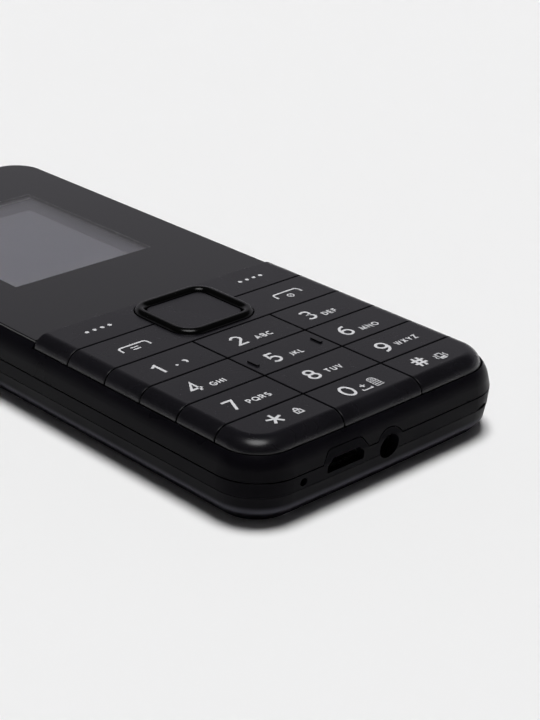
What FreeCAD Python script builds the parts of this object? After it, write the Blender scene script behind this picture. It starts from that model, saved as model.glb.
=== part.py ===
import FreeCAD
import Part
import math
import os

# Bar-shaped keypad telephone, millimetres. +X is to the right of the keypad, +Y runs from the
# port end to the earpiece end, +Z is out of the keys. The origin is on the table, under the
# middle of the back cover.

V = FreeCAD.Vector

# ---------------------------------------------------------------- outline and heights
WIDTH = 54.4                # across the joint of rear and front housing
LENGTH = 125.4              # port end to earpiece end
CORNER_R = 7.8              # plan radius of the four corners
END_BOW = 0.18              # how far each end bulges past its corners
COVER_CREASE_Z = 2.0        # edge where the cover turns under
CREASE_ROUND = 0.45
BACK_ROUND = 0.9            # round from the flat of the back into its slope
COVER_CREASE_IN = 0.65      # how far that edge lies inside the widest outline
BACK_FLAT_IN = 2.3          # how far the flat of the back lies inside the widest outline
COVER_SEAM_Z = 4.55         # joint of back cover and rear housing
COVER_SEAM_IN = 0.2
HOUSING_SEAM_Z = 6.9        # joint of rear and front housing
SHOULDER_Z = 10.3           # where the side wall and the slope to the lens would meet, unrounded
SHOULDER_IN = 0.75          # how far that lies inside the widest outline
SHOULDER_SHARE = 0.97       # share of the slope that the round between them takes up
LENS_TOP_Z = 11.65
KEY_TOP_Z = 12.6
SEAM_CHAMFER = 0.06         # chamfer on the edges that meet at a housing seam
SEAM_GROOVE_H = 0.13        # shadow groove along the joint of rear and front housing
SEAM_GROOVE_IN = 0.45

# ---------------------------------------------------------------- walls and clearances
COVER_WALL = 1.1
HOUSING_WALL = 1.45         # side walls of front and rear housing
THICK_WALL_Z = 9.1          # above this, the wall under the shoulder is thicker
THICK_WALL_MORE = 0.6
LIP_Z = 10.55               # narrow flat along the edge of the key opening
LENS_IN = 2.2               # edge of the lens, measured in from the outline
LENS_PROUD = 0.35           # lens above the housing round it
LENS_T = 0.8
LENS_CLEAR = 0.08
LENS_CHAMFER = 0.1
DECK_T = 0.6                # shelf under the lens
BAR_D = 1.6                 # bar across the front housing, behind the keys
BITE = 0.2                  # how far joined solids run into each other
OVER = 1.0                  # how far a cutter runs past what it cuts
PART_CLEAR = 0.15           # between fixed pieces that drop into each other
KEY_CLEAR = 0.13            # from a key's edge to the middle of the gap beside it
KEY_LIP_GAP = 0.2           # gap between keys and housing
KEY_TRAVEL = 0.3
TRAVEL_CLEAR = 0.1          # left over under a fully pressed key

# ---------------------------------------------------------------- keypad
KEY_EDGE_R = 2.5            # round from the key tops down to the sides
KEY_BASE_Z = 9.9            # underside of the keys
FIRST_ROW_LINE = 10.29      # gap behind the bottom row, from the port end
ROW_PITCH = 8.07
CALL_ROW = 8.79             # depth of the call and end bar
SOFT_ROW = 8.31             # depth of the soft key bar
MIDDLE_KEY_W = 16.36
STEM_R = 1.2
MAT_Z = 9.0                 # underside of the rubber mat
MAT_T = 0.5
MAT_FOOT_R = 0.7
STEM_CLEAR = 0.2
BAR_FOOT_W = 2.0            # nub under each bar's middle, that it rocks on
BAR_FOOT_D = 0.6
NUB_LENGTH = 2.2            # raised marks on the middle key
NUB_W = 0.5
NUB_H = 0.25
NUB_X = 6.65
EDGE_SOFT = 0.12            # tiny round on key edges

# ---------------------------------------------------------------- navigation keys
RING_W = 16.3
RING_D = 15.2
RING_CORNER_R = 4.0
RING_BAND = 1.9             # width of the glossy bead
RING_INNER_R = 1.8          # corners of the opening in the ring
RING_RISE = 0.7             # bead above the key tops
RING_BEAD_R = 0.85
RING_GAP = 0.16             # ring to the bars round it and to the centre key
RING_STEM_R = 0.4
RING_STEM_OFF = 2.4         # ring's stems to the side of the nubs
RING_NUB_W = 2.4            # nubs under the ring, that it rocks on
RING_NUB_D = 0.95
ROCKER_NUB_D = 1.0          # nubs under the rocker
RING_DOME_R = 0.8
OK_RISE = 0.1
OK_EDGE_R = 0.2
RING_BASE_Z = 10.6          # underside of the ring and the centre key
ROCKER_Z = 9.8              # underside of the plate that lets the ring tip
ROCKER_T = 0.25
ROCK_CLEAR = 0.05           # under a nub that something rocks on

# ---------------------------------------------------------------- display
WINDOW_W = 28.9
WINDOW_D = 35.3
WINDOW_EASE = 0.4           # hole in the deck, wider than the clear window
WINDOW_RISE = 1.22          # window's middle past the lens's middle
LCD_W = 34.0
LCD_D = 44.5
LCD_T = 1.9
LCD_GLASS_T = 0.6
LCD_FRAME_WALL = 0.9
LCD_TOP_MARGIN = 1.5        # panel past the window, at the earpiece end
FLEX_W = 12.0
FLEX_T = 0.15
FLEX_LAP = 3.0              # flat cable on the board
FLEX_GAP = 0.3              # cable's drop in front of the panel
EARPIECE_W = 10.0
EARPIECE_D = 1.3
EARPIECE_ROUND = 0.63       # ends of the slot
EARPIECE_FROM_END = 7.0
EARPIECE_CASE_W = 12.0
EARPIECE_CASE_D = 5.0
CASE_ROUND = 1.0

# ---------------------------------------------------------------- board and what it carries
BOARD_Z = 7.2
BOARD_T = 0.8
BOARD_IN = 1.65             # board edge inside the outline
SHEET_T = 0.1
SHEET_IN = 0.6              # dome sheet inside the board's edge
DOME_R = 2.0
DOME_H = 0.2
BATTERY_W = 34.0
BATTERY_D = 53.0
BATTERY_T = 4.9
BATTERY_FROM_END = 22.0     # port end to battery bay
BAY_CLEAR = 0.3
BATTERY_ROUND = 1.2
CONTACT_W = 8.0             # hole in the bay's roof for the contacts
CONTACT_D = 3.4
CONTACT_IN = 1.0            # from the battery's port end
CONTACT_CLEAR = 0.2
FINGERS = 3
FINGER_PITCH = 2.4
FINGER_W = 0.9
FINGER_D = 2.2
FINGER_TOP = 0.5            # fingers' tops below the board
BAY_ROOF = 0.6              # floor of the rear housing above the battery
BACK_GAP = 0.12             # battery and housing ribs above the cover's floor
RIB_T = 1.2
SIM_W = 13.0
SIM_D = 14.0
SIM_T = 1.3
CARD_W = 11.5
TRAY_GAP = 0.6              # between the card holders
TRAY_T = 0.3
POCKET_MARGIN = 0.75        # pocket past the card holders
SPEAKER_W = 15.0
SPEAKER_D = 11.0
SPEAKER_T = 3.4
SPEAKER_ROUND = 2.0
SPEAKER_RIM = 1.0           # wall that seals it to the cover
VENT_W = 4.5                # hole in the board behind the loudspeaker
VENT_D = 3.3
SPEAKER_X = 0.0
SPEAKER_GAP = 4.2           # card holders to loudspeaker
GRILLE_SLOTS = 5
GRILLE_PITCH = 2.2
GRILLE_SLOT_W = 1.0
GRILLE_SLOT_D = 7.0
MOTOR_R = 2.0
MOTOR_LENGTH = 8.0
MOTOR_GAP = 1.2
WEIGHT_LENGTH = 3.2
WEIGHT_GAP = 0.3            # weight to the case and to the rib before it
WEIGHT_R = 1.8
WEIGHT_TOP = 0.6            # flat of the half-round weight, above the shaft's middle
SHAFT_SHORT = 0.5           # shaft's end inside the case
SHAFT_R = 0.4
SHAFT_CLEAR = 0.05
CAN_H = 0.65
CAN_W = 8.0
CAN_D = 5.5
CAN_ROUND = 0.5
CAN_GAP = 1.0               # clear space round the shield lids
ANTENNA_W = 36.0
ANTENNA_D = 1.6
ANTENNA_H = 1.4
ANTENNA_T = 0.2
ANTENNA_IN = 0.85           # from the board's far edge

# ---------------------------------------------------------------- ports in the near end
USB_X = -9.32
USB_FLOOR_Z = 5.3
USB_MOUTH_W = 7.33
USB_MOUTH_TOP_W = 5.3
USB_MOUTH_ROUND = 0.5       # upper corners of the mouth
USB_MOUTH_H = 2.15
USB_SHELL_W = 7.5
USB_SHELL_H = 2.6
USB_SHELL_T = 0.25
USB_DEPTH = 5.2
USB_UPRIGHT = 0.56          # share of the mouth's height with upright sides
USB_BACK_T = 0.3            # closed end of the shell
USB_WING_W = 10.5
USB_WING_D = 2.0
USB_WING_T = 0.2
USB_WING_AT = 1.5           # wings' middle, from the shell's closed end
TONGUE_W = 3.6
TONGUE_T = 0.5
TONGUE_IN = 0.8             # tongue's tip inside the mouth
TONGUE_ROOM = 0.25          # above the tongue
TONGUE_ROOT_W = 4.4
TONGUE_ROOT_D = 0.8
JACK_X = -0.22
JACK_Z = 5.42
JACK_HOLE_R = 1.97          # opening in the shell, wider than the socket behind it
JACK_BORE_R = 1.8
JACK_BORE_DEPTH = 11.5
JACK_W = 6.0
JACK_H = 4.9
JACK_DEPTH = 13.0
JACK_FLOOR_T = 0.6          # floor of the rear housing under the jack
JACK_WING_W = 8.4
JACK_WING_D = 3.0
JACK_WING_T = 0.3
JACK_WING_AT = 9.1          # wings' middle, from the jack's mouth
JACK_HOOD_R = 2.95          # round tab of the rear housing over the jack
USB_HOOD_TOP = 8.8
USB_HOOD_W = 9.25
USB_HOOD_TOP_W = 6.5
HOOD_ROUND = 1.2
HOOD_CLEAR = 0.14
HOOD_ROOT = 0.5             # how far the tabs reach down into the rear housing
HOOD_ROOT_IN = 0.2          # their foot, inside its face
MIC_X = -17.6
MIC_Z = 5.6
MIC_HOLE_R = 0.65
MIC_R = 2.0
MIC_T = 1.4
MIC_GAP = 1.0               # capsule to the wall
NAIL_TURN = 75.0            # slot for lifting the cover: its middle, degrees round the corner from +X
NAIL_HALF_ANGLE = 12.0      # its reach to each side
NAIL_H = 0.6                # height at its middle
NAIL_DEPTH = 1.2

# ---------------------------------------------------------------- screws
SCREW_R = 0.8
SCREW_HEAD_R = 1.5
SCREW_HEAD_T = 0.8
SCREW_CLEAR = 0.05
SCREW_TO_BAY = 5.5          # near screws to the battery bay
SCREW_FROM_END = 8.0        # far screws to the earpiece end
SCREW_BITE = 0.4            # screw's reach above the board
BOSS_R = 2.0
LOW_BOSS_H = 0.6            # bosses under the keys, above the board
BOSS_BITE = 0.5             # how far a boss runs into the wall beside it

# ---------------------------------------------------------------- places worked out from the sizes
FRONT_Y = -LENGTH / 2
REAR_Y = LENGTH / 2
HALF_W = WIDTH / 2
KEY_IN = HOUSING_WALL + KEY_LIP_GAP
KEYPAD_REAR = FRONT_Y + FIRST_ROW_LINE + 3 * ROW_PITCH + CALL_ROW + SOFT_ROW
COLLAR_Y = KEYPAD_REAR + 0.5 * KEY_LIP_GAP
LENS_FLOOR_Z = LENS_TOP_Z - LENS_T
DECK_Z = LENS_FLOOR_Z - DECK_T
SHELL_TOP_Z = LENS_TOP_Z - LENS_PROUD
SEAM_TOP_Z = HOUSING_SEAM_Z + SEAM_GROOVE_H + SEAM_CHAMFER
SLOPE = math.hypot(LENS_IN - SHOULDER_IN, SHELL_TOP_Z - SHOULDER_Z)
SLOPE_TURN = (math.atan2(SHOULDER_Z - SEAM_TOP_Z, SHOULDER_IN)
              - math.atan2(SHELL_TOP_Z - SHOULDER_Z, LENS_IN - SHOULDER_IN))
SHOULDER_R = SHOULDER_SHARE * SLOPE / math.tan(SLOPE_TURN / 2)
MAT_TOP = MAT_Z + MAT_T
BOARD_TOP = BOARD_Z + BOARD_T
SHEET_TOP = BOARD_TOP + SHEET_T
STEM_HOLE_R = STEM_R + STEM_CLEAR
STEM_TIP_Z = SHEET_TOP + DOME_H + KEY_TRAVEL + TRAVEL_CLEAR
RING_Y = KEYPAD_REAR - SOFT_ROW
COVER_FLOOR_TOP = COVER_WALL
BLOCK_IN = BACK_FLAT_IN + COVER_WALL / 2 + PART_CLEAR
BLOCK_Z = COVER_FLOOR_TOP + BACK_GAP
BATTERY_Y = FRONT_Y + BATTERY_FROM_END + BATTERY_D / 2
BAY_TOP = HOUSING_SEAM_Z - BAY_ROOF
LENS_Y0 = COLLAR_Y + LENS_CLEAR
WINDOW_Y = (LENS_Y0 + REAR_Y - LENS_IN) / 2 + WINDOW_RISE
LCD_Y = WINDOW_Y + (WINDOW_D - LCD_D) / 2 + LCD_TOP_MARGIN
LCD_Z = SHEET_TOP
EAR_Y = REAR_Y - EARPIECE_FROM_END
CONTACT_Y = BATTERY_Y - BATTERY_D / 2 + CONTACT_IN + CONTACT_D / 2
SCREW_SEAT_Z = BLOCK_Z + SCREW_HEAD_T + 2 * SCREW_CLEAR
SCREW_TIP_Z = BOARD_TOP + SCREW_BITE
INNER_END = HOUSING_WALL + PART_CLEAR
SIM_Y = BATTERY_Y + BATTERY_D / 2 + BAY_CLEAR + RIB_T + POCKET_MARGIN + SIM_D / 2
SPEAKER_Y = SIM_Y + SIM_D / 2 + SPEAKER_GAP + SPEAKER_D / 2
TRAYS_W = 2 * SIM_W + CARD_W + 2 * TRAY_GAP
JACK_Y = FRONT_Y + COVER_CREASE_IN + COVER_WALL + 2 * PART_CLEAR
USB_SHELL_Z = USB_FLOOR_Z - (USB_SHELL_H - USB_MOUTH_H) / 2
USB_SHELL_Y = FRONT_Y + INNER_END
FAR = 2 * LENGTH

os.makedirs("parts", exist_ok=True)


def save(name, shape):
    """Write one piece, after dropping needless edges and checking that it is sound."""
    shape = shape.removeSplitter()
    if not shape.isValid():
        print("NOT VALID", name)
    print("%-22s %d solid(s) %9.2f mm3" % (name, len(shape.Solids), shape.Volume))
    shape.exportStep("parts/%s.step" % name)


def box(x0, x1, y0, y1, z0, z1):
    return Part.makeBox(x1 - x0, y1 - y0, z1 - z0, V(x0, y0, z0))


def block(x, y, w, d, z0, z1):
    """A box given by its middle in plan, its width and depth, and its two heights."""
    return box(x - w / 2, x + w / 2, y - d / 2, y + d / 2, z0, z1)


def rod(r, start, end):
    """A round bar from one point to another."""
    axis = V(*end) - V(*start)
    return Part.makeCylinder(r, axis.Length, V(*start), axis)


def round_block(x, y, w, d, r, z0, z1):
    """A block with its four upright edges rounded."""
    body = block(x, y, w, d, z0, z1)
    upright = [e for e in body.Edges if abs(e.tangentAt(e.FirstParameter).z) > 0.99]
    return body.makeFillet(r, upright)


# ---------------------------------------------------------------- the body's outline
CORNER_X = HALF_W - CORNER_R
BOW_R = (CORNER_X ** 2 + END_BOW ** 2) / (2 * END_BOW)
CORNER_Y = REAR_Y - BOW_R + math.sqrt((BOW_R - CORNER_R) ** 2 - CORNER_X ** 2)


def outline(inset, z):
    """The rounded outline drawn in by an inset, as a closed wire at one height."""
    r = CORNER_R - inset
    x = HALF_W - inset
    end = REAR_Y - inset
    lean = math.asin(CORNER_X / (BOW_R - CORNER_R))
    tx = CORNER_X + r * math.sin(lean)
    ty = CORNER_Y + r * math.cos(lean)
    half = (math.pi / 2 + lean) / 2
    mx = CORNER_X + r * math.sin(half)
    my = CORNER_Y + r * math.cos(half)

    def p(px, py):
        return V(px, py, z)

    edges = [
        Part.LineSegment(p(x, -CORNER_Y), p(x, CORNER_Y)),
        Part.Arc(p(x, CORNER_Y), p(mx, my), p(tx, ty)),
        Part.Arc(p(tx, ty), p(0, end), p(-tx, ty)),
        Part.Arc(p(-tx, ty), p(-mx, my), p(-x, CORNER_Y)),
        Part.LineSegment(p(-x, CORNER_Y), p(-x, -CORNER_Y)),
        Part.Arc(p(-x, -CORNER_Y), p(-mx, -my), p(-tx, -ty)),
        Part.Arc(p(-tx, -ty), p(0, -end), p(tx, -ty)),
        Part.Arc(p(tx, -ty), p(mx, -my), p(x, -CORNER_Y)),
    ]
    return Part.Wire([e.toShape() for e in edges])


def slab(inset, z0, z1):
    """The outline at one inset, raised from one height to another."""
    return Part.Face(outline(inset, z0)).extrude(V(0, 0, z1 - z0))


def stack(levels):
    """A solid through outlines given as (height, inset), straight between them."""
    return Part.makeLoft([outline(inset, z) for z, inset in levels], True, True)


def edges_at(shape, z, also=None):
    """The edges that lie flat at one height, and pass a further test if one is given."""
    found = []
    for e in shape.Edges:
        b = e.BoundBox
        if abs(b.ZMin - z) < 1e-4 and abs(b.ZMax - z) < 1e-4 and (also is None or also(b)):
            found.append(e)
    return found


def shell(foot):
    """Outside of the front housing: a foot given as levels, then the side wall and the round to the lens."""
    body = stack(foot + [(SHOULDER_Z, SHOULDER_IN), (SHELL_TOP_Z, LENS_IN)])
    return body.makeFillet(SHOULDER_R, edges_at(body, SHOULDER_Z))


def behind(y):
    return box(-FAR, FAR, y, FAR, -FAR, FAR)


def before(y):
    return box(-FAR, FAR, -FAR, y, -FAR, FAR)


# ---------------------------------------------------------------- port shapes
def trapezoid(x, z0, z1, w0, w1, y0, y1, r=0.0):
    """A prism along Y whose section is wide at the bottom and narrow at the top."""
    pts = [V(x - w0 / 2, y0, z0), V(x + w0 / 2, y0, z0), V(x + w1 / 2, y0, z1), V(x - w1 / 2, y0, z1)]
    body = Part.Face(Part.makePolygon(pts + pts[:1])).extrude(V(0, y1 - y0, 0))
    if r > 0:
        top = [e for e in body.Edges if abs(e.tangentAt(e.FirstParameter).y) > 0.99
               and e.BoundBox.ZMin > z1 - 1e-4]
        body = body.makeFillet(r, top)
    return body


def hoods(grow, y0, y1):
    """The two tabs that rise over the ports: a wide one for data and charging, a round one."""
    usb = trapezoid(USB_X, HOUSING_SEAM_Z, USB_HOOD_TOP + grow, USB_HOOD_W + 2 * grow,
                    USB_HOOD_TOP_W + 2 * grow, y0, y1, HOOD_ROUND)
    foot = block(USB_X, (y0 + y1) / 2, USB_HOOD_W + 2 * grow, y1 - y0,
                 HOUSING_SEAM_Z - HOOD_ROOT, HOUSING_SEAM_Z)
    usb = usb.fuse(foot)
    jack = rod(JACK_HOOD_R + grow, (JACK_X, y0, JACK_Z), (JACK_X, y1, JACK_Z))
    return usb.fuse(jack)


def usb_mouth(y0, y1):
    """Opening of the data port: upright sides below, sloping shoulders above."""
    low = USB_MOUTH_H * USB_UPRIGHT
    lower = block(USB_X, (y0 + y1) / 2, USB_MOUTH_W, y1 - y0, USB_FLOOR_Z, USB_FLOOR_Z + low)
    upper = trapezoid(USB_X, USB_FLOOR_Z + low, USB_FLOOR_Z + USB_MOUTH_H,
                      USB_MOUTH_W, USB_MOUTH_TOP_W, y0, y1, USB_MOUTH_ROUND)
    return lower.fuse(upper)


SCREW_SPOTS = [(sx * (HALF_W - BLOCK_IN - RIB_T - BOSS_R + BOSS_BITE), FRONT_Y + fy)
               for sx in (-1, 1) for fy in (BATTERY_FROM_END - SCREW_TO_BAY, LENGTH - SCREW_FROM_END)]
PORT_Y0 = FRONT_Y - OVER
PORT_Y1 = FRONT_Y + HOUSING_WALL + OVER


# ---------------------------------------------------------------- battery cover
def battery_cover():
    """Dished back that snaps on from below, with a flat floor and upright edges."""
    outer = stack([(0, BACK_FLAT_IN), (COVER_CREASE_Z, COVER_CREASE_IN),
                   (COVER_SEAM_Z - SEAM_CHAMFER, COVER_SEAM_IN),
                   (COVER_SEAM_Z, COVER_SEAM_IN + SEAM_CHAMFER)])
    inner = stack([(COVER_FLOOR_TOP, BACK_FLAT_IN + COVER_WALL / 2),
                   (COVER_CREASE_Z + COVER_WALL / 2, COVER_CREASE_IN + COVER_WALL),
                   (COVER_SEAM_Z + OVER, COVER_SEAM_IN + COVER_WALL)])
    outer = outer.makeFillet(BACK_ROUND, edges_at(outer, 0))
    outer = outer.makeFillet(CREASE_ROUND, edges_at(outer, COVER_CREASE_Z))
    cover = outer.cut(inner)
    cover = cover.cut(rod(JACK_HOLE_R, (JACK_X, PORT_Y0, JACK_Z), (JACK_X, PORT_Y1, JACK_Z)))
    for i in range(GRILLE_SLOTS):
        x = SPEAKER_X + (i - (GRILLE_SLOTS - 1) / 2) * GRILLE_PITCH
        cover = cover.cut(block(x, SPEAKER_Y, GRILLE_SLOT_W, GRILLE_SLOT_D, -OVER, COVER_FLOOR_TOP + OVER))
    return cover


# ---------------------------------------------------------------- rear housing
def rear_housing():
    """Visible band between the seams, with the battery bay and the ribs that fill the cover."""
    band = stack([(COVER_SEAM_Z, COVER_SEAM_IN + SEAM_CHAMFER),
                  (COVER_SEAM_Z + SEAM_CHAMFER, COVER_SEAM_IN),
                  (HOUSING_SEAM_Z - SEAM_CHAMFER, 0), (HOUSING_SEAM_Z, SEAM_CHAMFER)])
    core = slab(BLOCK_IN, BLOCK_Z, COVER_SEAM_Z)
    body = band.fuse(core)
    # room above for the board's underside, all round the bay
    hollow = slab(BLOCK_IN + RIB_T, BLOCK_Z + RIB_T, HOUSING_SEAM_Z + OVER)
    hollow = hollow.fuse(slab(HOUSING_WALL + COVER_SEAM_IN, COVER_SEAM_Z + RIB_T, HOUSING_SEAM_Z + OVER))
    bay_w = BATTERY_W + 2 * BAY_CLEAR
    bay_d = BATTERY_D + 2 * BAY_CLEAR
    bay_block = block(0, BATTERY_Y, bay_w + 2 * RIB_T, bay_d + 2 * RIB_T, 0, FAR)
    pocket_w = TRAYS_W + 2 * POCKET_MARGIN
    pocket_d = SIM_D + 2 * POCKET_MARGIN
    sim_block = block(0, SIM_Y, pocket_w + 2 * RIB_T, pocket_d + 2 * RIB_T, 0, FAR)
    speaker_block = block(SPEAKER_X, SPEAKER_Y, SPEAKER_W + 2 * RIB_T + 2 * PART_CLEAR,
                          SPEAKER_D + 2 * RIB_T + 2 * PART_CLEAR, 0, FAR)
    hollow = hollow.cut(bay_block).cut(sim_block).cut(speaker_block)
    for x, y in SCREW_SPOTS:
        hollow = hollow.cut(rod(BOSS_R, (x, y, 0), (x, y, FAR)))
    body = body.cut(hollow)
    # pockets that open downwards into the cover
    body = body.cut(block(0, BATTERY_Y, bay_w, bay_d, 0, BAY_TOP))
    body = body.cut(block(0, SIM_Y, pocket_w, pocket_d, 0, HOUSING_SEAM_Z + OVER))
    body = body.cut(block(SPEAKER_X, SPEAKER_Y, SPEAKER_W + 2 * PART_CLEAR, SPEAKER_D + 2 * PART_CLEAR,
                          0, HOUSING_SEAM_Z + OVER))
    body = body.cut(block(0, CONTACT_Y, CONTACT_W, CONTACT_D, BAY_TOP - OVER, HOUSING_SEAM_Z + OVER))
    for x, y in SCREW_SPOTS:
        body = body.cut(rod(SCREW_R + SCREW_CLEAR, (x, y, 0), (x, y, FAR)))
        body = body.cut(rod(SCREW_HEAD_R + SCREW_CLEAR, (x, y, 0), (x, y, SCREW_SEAT_Z)))
    # tabs over the ports, then the ports themselves
    tab = shell([(HOUSING_SEAM_Z - HOOD_ROOT, HOOD_ROOT_IN), (HOUSING_SEAM_Z, 0), (SEAM_TOP_Z, 0)])
    tab = tab.cut(slab(HOUSING_WALL, 0, FAR))
    body = body.fuse(tab.common(hoods(0, PORT_Y0, PORT_Y1)))
    body = body.cut(usb_mouth(PORT_Y0, PORT_Y1))
    body = body.cut(rod(JACK_HOLE_R, (JACK_X, PORT_Y0, JACK_Z), (JACK_X, PORT_Y1 + OVER, JACK_Z)))
    body = body.cut(rod(MIC_HOLE_R, (MIC_X, PORT_Y0, MIC_Z), (MIC_X, PORT_Y1 + OVER, MIC_Z)))
    body = body.cut(block(JACK_X, JACK_Y + JACK_DEPTH / 2, JACK_W + 2 * PART_CLEAR,
                          JACK_DEPTH + 2 * PART_CLEAR, BLOCK_Z + JACK_FLOOR_T, FAR))
    body = body.cut(block(USB_X, FRONT_Y + INNER_END + USB_DEPTH / 2, USB_SHELL_W + 2 * PART_CLEAR,
                          USB_DEPTH + 2 * PART_CLEAR, USB_SHELL_Z - PART_CLEAR, HOUSING_SEAM_Z + OVER))
    return body.cut(nail_slot())


def nail_slot():
    """Arch cut into the right port-end corner, standing on the cover's edge."""
    half = CORNER_R * math.sin(math.radians(NAIL_HALF_ANGLE))
    arch_r = (half ** 2 + NAIL_H ** 2) / (2 * NAIL_H)
    middle = COVER_SEAM_Z + NAIL_H - arch_r
    cutter = rod(arch_r, (CORNER_R - NAIL_DEPTH, 0, middle), (CORNER_R + OVER, 0, middle))
    cutter = cutter.common(box(0, FAR, -FAR, FAR, COVER_SEAM_Z, FAR))
    cutter.rotate(V(0, 0, 0), V(0, 0, 1), -NAIL_TURN)
    cutter.translate(V(CORNER_X, -CORNER_Y, 0))
    return cutter


# ---------------------------------------------------------------- front housing
def front_housing():
    """Side wall that leans in and rounds over to the lens, cut through for the keys."""
    body = shell([(HOUSING_SEAM_Z, SEAM_TOP_Z - HOUSING_SEAM_Z), (SEAM_TOP_Z, 0)])
    groove_top = HOUSING_SEAM_Z + SEAM_GROOVE_H
    body = body.cut(slab(-OVER, 0, groove_top).cut(slab(SEAM_GROOVE_IN, 0, groove_top)))
    opening = slab(HOUSING_WALL, 0, FAR).fuse(slab(-OVER, LIP_Z, FAR))
    body = body.cut(opening.common(before(COLLAR_Y)))
    # hollow behind the keys too, under a deck for the lens, with a bar across at its near end
    body = body.cut(slab(HOUSING_WALL, 0, THICK_WALL_Z))
    body = body.cut(slab(HOUSING_WALL + THICK_WALL_MORE, 0, DECK_Z).common(behind(COLLAR_Y)))
    body = body.cut(slab(LENS_IN - LENS_CLEAR, LENS_FLOOR_Z, FAR).common(behind(COLLAR_Y - BITE)))
    bar = slab(HOUSING_WALL - BITE, MAT_Z, DECK_Z + BITE).common(
        box(-FAR, FAR, COLLAR_Y, COLLAR_Y + BAR_D, 0, FAR))
    body = body.fuse(bar)
    body = body.cut(block(0, WINDOW_Y, WINDOW_W + WINDOW_EASE, WINDOW_D + WINDOW_EASE, 0, FAR))
    body = body.cut(round_block(0, EAR_Y, EARPIECE_W, EARPIECE_D, EARPIECE_ROUND, 0, FAR))
    # cut for the tabs over the ports
    body = body.cut(hoods(HOOD_CLEAR, PORT_Y0, PORT_Y1).common(before(PORT_Y1)))
    for x, y in SCREW_SPOTS:
        top = DECK_Z + BITE if y > COLLAR_Y else BOARD_TOP + LOW_BOSS_H
        boss = rod(BOSS_R, (x, y, BOARD_TOP), (x, y, top))
        if y < COLLAR_Y:
            side = math.copysign(1, x)
            reach = HALF_W - HOUSING_WALL + BITE
            boss = boss.fuse(box(min(x, side * reach), max(x, side * reach), y - BOSS_R / 2,
                                 y + BOSS_R / 2, BOARD_TOP, top))
        hole = rod(SCREW_R + SCREW_CLEAR, (x, y, 0), (x, y, SCREW_TIP_Z + 2 * SCREW_CLEAR))
        body = body.fuse(boss).cut(hole)
    return body


def display_lens():
    """Clear window plate, printed dark on its underside round the display."""
    lens = slab(LENS_IN, LENS_FLOOR_Z, LENS_TOP_Z).common(behind(LENS_Y0))
    lens = lens.makeChamfer(LENS_CHAMFER, edges_at(lens, LENS_TOP_Z))
    return lens.cut(round_block(0, EAR_Y, EARPIECE_W, EARPIECE_D, EARPIECE_ROUND, 0, FAR))


# ---------------------------------------------------------------- keys
def key_master():
    """All the keys as one piece: rounded at the sides and port end, square at the rear."""
    whole = slab(KEY_IN, KEY_BASE_Z, KEY_TOP_Z).common(before(KEYPAD_REAR - KEY_CLEAR))
    rear = KEYPAD_REAR - KEY_CLEAR
    return whole.makeFillet(KEY_EDGE_R, edges_at(whole, KEY_TOP_Z, lambda b: b.YMin < rear - 0.01))


def soften(shape):
    """Take the sharpness off the edges along the gaps, over the top and down the round."""
    found = []
    for e in shape.Edges:
        b = e.BoundBox
        flat_x = b.XMax - b.XMin < 1e-5
        flat_y = b.YMax - b.YMin < 1e-5
        if b.ZMin > KEY_BASE_Z + EDGE_SOFT and flat_x != flat_y:
            found.append(e)
    return shape.makeFillet(EDGE_SOFT, found)


MASTER = key_master()
COLUMN_X = [-FAR, -MIDDLE_KEY_W / 2, MIDDLE_KEY_W / 2, FAR]
ROW_Y = [-FAR] + [FRONT_Y + FIRST_ROW_LINE + i * ROW_PITCH for i in range(4)]


def cell(x0, x1, y0, y1):
    """The piece of the master between two column lines and two row lines, less the gaps."""
    piece = MASTER.common(box(x0 + KEY_CLEAR, x1 - KEY_CLEAR, y0 + KEY_CLEAR, y1 - KEY_CLEAR, 0, FAR))
    return soften(piece)


def stem_spot(column, row):
    """Where a key's stem stands: over the middle of its top."""
    side = (HALF_W - KEY_IN + MIDDLE_KEY_W / 2) / 2
    low = FRONT_Y + KEY_IN if row == 0 else ROW_Y[row]
    return (column - 1) * side, (low + ROW_Y[row + 1]) / 2


def stem(x, y, r=STEM_R, top=KEY_BASE_Z):
    return rod(r, (x, y, STEM_TIP_Z), (x, y, top + BITE))


KEY_NAMES = [["key_star", "key_0", "key_hash"], ["key_7", "key_8", "key_9"],
             ["key_4", "key_5", "key_6"], ["key_1", "key_2", "key_3"]]


def number_key(column, row):
    key = cell(COLUMN_X[column], COLUMN_X[column + 1], ROW_Y[row], ROW_Y[row + 1])
    x, y = stem_spot(column, row)
    key = key.fuse(stem(x, y))
    if KEY_NAMES[row][column] == "key_5":
        for side in (-1, 1):
            key = key.fuse(block(side * NUB_X, y, NUB_W, NUB_LENGTH, KEY_TOP_Z - BITE, KEY_TOP_Z + NUB_H))
    return key


CALL_Y = ROW_Y[4] + CALL_ROW / 2
SOFT_Y = RING_Y + SOFT_ROW / 2
BAR_STEM_X = (HALF_W - KEY_IN + RING_W / 2) / 2
RING_HOLE_R = RING_CORNER_R + RING_GAP


def function_bar(y0, y1, stem_y, bridge_y):
    """Two function keys in one piece, joined past the ring, that rocks over its middle."""
    bar = cell(-FAR, FAR, y0, y1)
    bar = bar.cut(round_block(0, RING_Y, RING_W + 2 * RING_GAP, RING_D + 2 * RING_GAP, RING_HOLE_R, 0, FAR))
    for side in (-1, 1):
        bar = bar.fuse(stem(side * BAR_STEM_X, stem_y))
    foot = block(0, bridge_y, BAR_FOOT_W, BAR_FOOT_D, MAT_TOP + ROCK_CLEAR, KEY_BASE_Z + BITE)
    return bar.fuse(foot)


def ring_spots():
    """Where the ring's four stems stand, clear of the nubs that it rocks on."""
    sx = RING_W / 2 - RING_BAND / 2
    sy = RING_D / 2 - RING_BAND / 2
    off = RING_STEM_OFF
    return [(sx, RING_Y + off), (-sx, RING_Y - off), (-off, RING_Y + sy), (off, RING_Y - sy)]


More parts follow.
